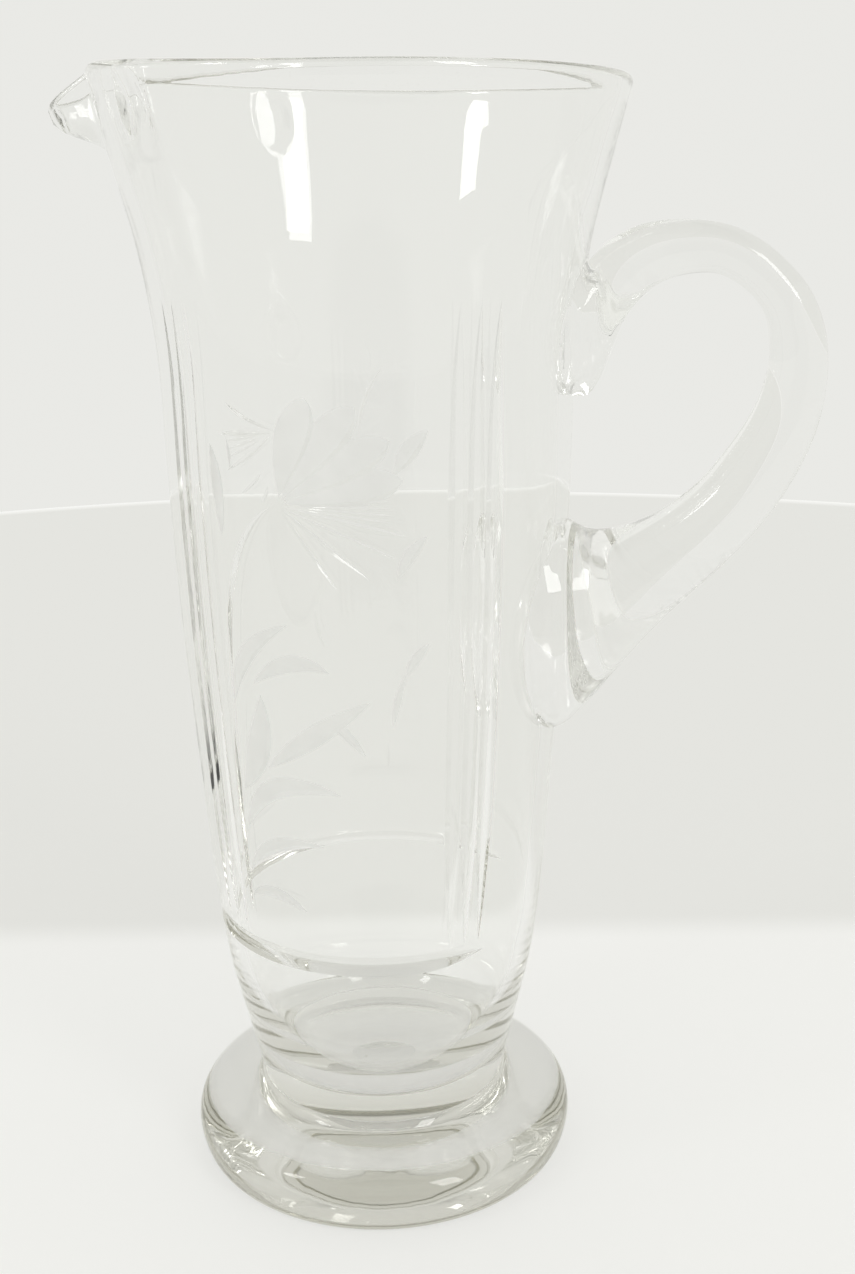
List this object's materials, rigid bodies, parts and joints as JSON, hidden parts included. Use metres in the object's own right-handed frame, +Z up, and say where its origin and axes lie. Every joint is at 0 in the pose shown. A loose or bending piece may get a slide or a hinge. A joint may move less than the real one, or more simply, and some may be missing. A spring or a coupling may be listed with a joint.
{
  "type": "glass pitcher",
  "caption": "Tall clear glass beer pitcher with a flared rim, pulled pouring lip, thick round foot, solid loop handle and cut decoration.",
  "frame": {"origin": "centre of the flat base, on the surface the pitcher stands on", "axes": "+Z up along the vessel's axis, +X towards the handle, the pouring lip points to -X, Y is across"},
  "size_m": [0.2033, 0.1362, 0.3036],
  "materials": {
    "clear_glass": "polished, faint grey-green tint"
  },
  "bodies": {
    "root": {"vessel": "clear_glass", "foot": "clear_glass", "handle": "clear_glass"}
  },
  "joints": []
}
